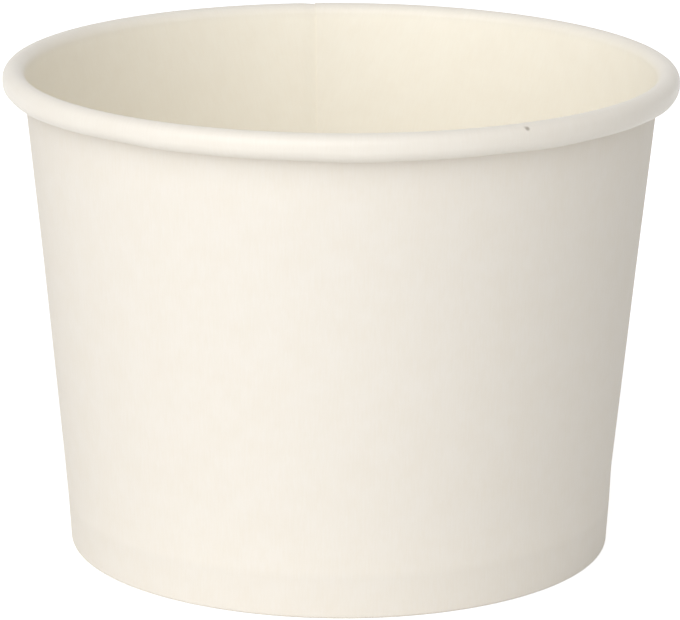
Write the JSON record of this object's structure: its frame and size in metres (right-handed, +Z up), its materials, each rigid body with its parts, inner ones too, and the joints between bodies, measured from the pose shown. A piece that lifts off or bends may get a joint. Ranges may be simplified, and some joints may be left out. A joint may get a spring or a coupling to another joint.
{
  "type": "paper soup bowl",
  "caption": "Round tapered takeaway bowl of coated paperboard, with a rolled rim, a lapped side seam and a recessed base held in a folded hem.",
  "frame": {"origin": "centre of the foot ring, on the surface that the bowl stands on", "axes": "+Z up along the bowl's axis, out of its mouth; -Y towards the viewer, with the side seam at the back, near +Y"},
  "size_m": [0.115, 0.115, 0.0835],
  "materials": {
    "wall_board": "matte outside, thin film coating inside",
    "base_board": "matte under, thin film coating on top"
  },
  "bodies": {
    "root": {"side_wall": "wall_board", "base_disc": "base_board"}
  },
  "joints": []
}
